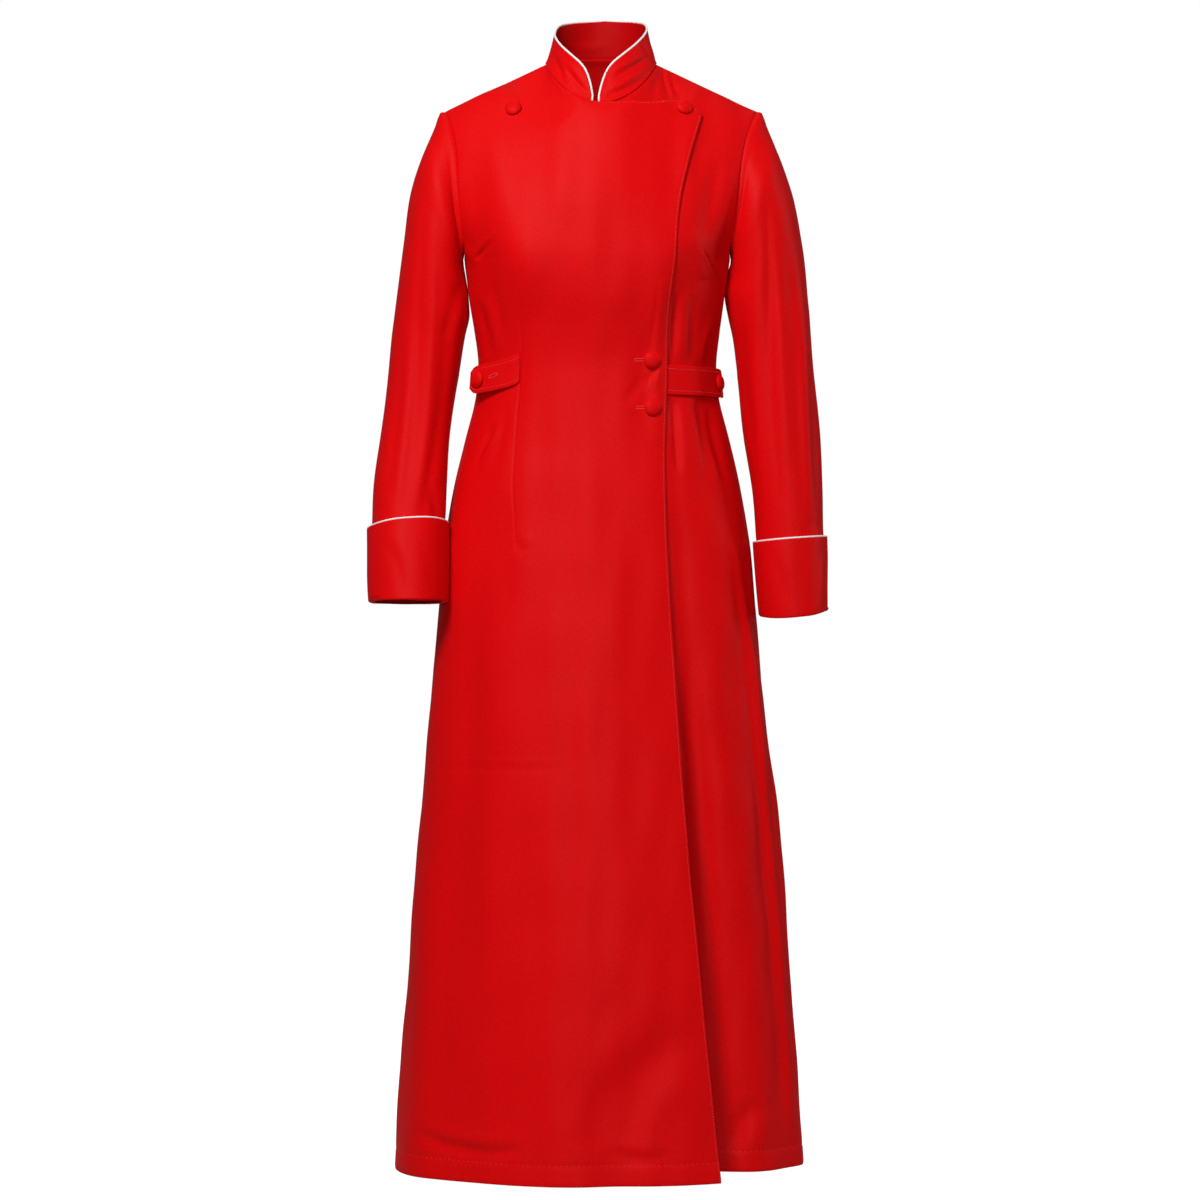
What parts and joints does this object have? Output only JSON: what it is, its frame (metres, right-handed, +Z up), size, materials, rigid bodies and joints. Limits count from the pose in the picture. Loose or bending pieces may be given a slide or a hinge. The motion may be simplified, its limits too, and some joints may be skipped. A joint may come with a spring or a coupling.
{
  "type": "cassock",
  "caption": "Long wrap-front clergy robe filled out as worn and empty inside, with a piped stand collar, turned-back piped cuffs, waist tabs and covered buttons.",
  "frame": {"origin": "the middle of the neck opening, level with the neck end of the shoulder seams, where the robe rests on a wearer's shoulders", "axes": "+X to the wearer's left, -Y to the front, +Z up"},
  "size_m": [0.573, 0.408, 1.4399],
  "materials": {
    "red_cloth": "smooth red twill with a soft dull sheen",
    "red_cloth_under": "the same red twill, where it lies under the front",
    "white_piping": "white corded piping"
  },
  "bodies": {
    "root": {"right_front": "red_cloth", "left_front": "red_cloth_under", "back": "red_cloth", "collar": "red_cloth", "collar_piping": "white_piping", "right_sleeve": "red_cloth", "left_sleeve": "red_cloth", "right_cuff": "red_cloth", "left_cuff": "red_cloth", "right_cuff_piping": "white_piping", "left_cuff_piping": "white_piping", "right_waist_tab": "red_cloth", "left_waist_tab": "red_cloth", "right_tab_button": "red_cloth", "left_tab_button": "red_cloth", "front_button_1": "red_cloth", "front_button_2": "red_cloth", "front_button_3": "red_cloth", "front_button_4": "red_cloth"}
  },
  "joints": []
}
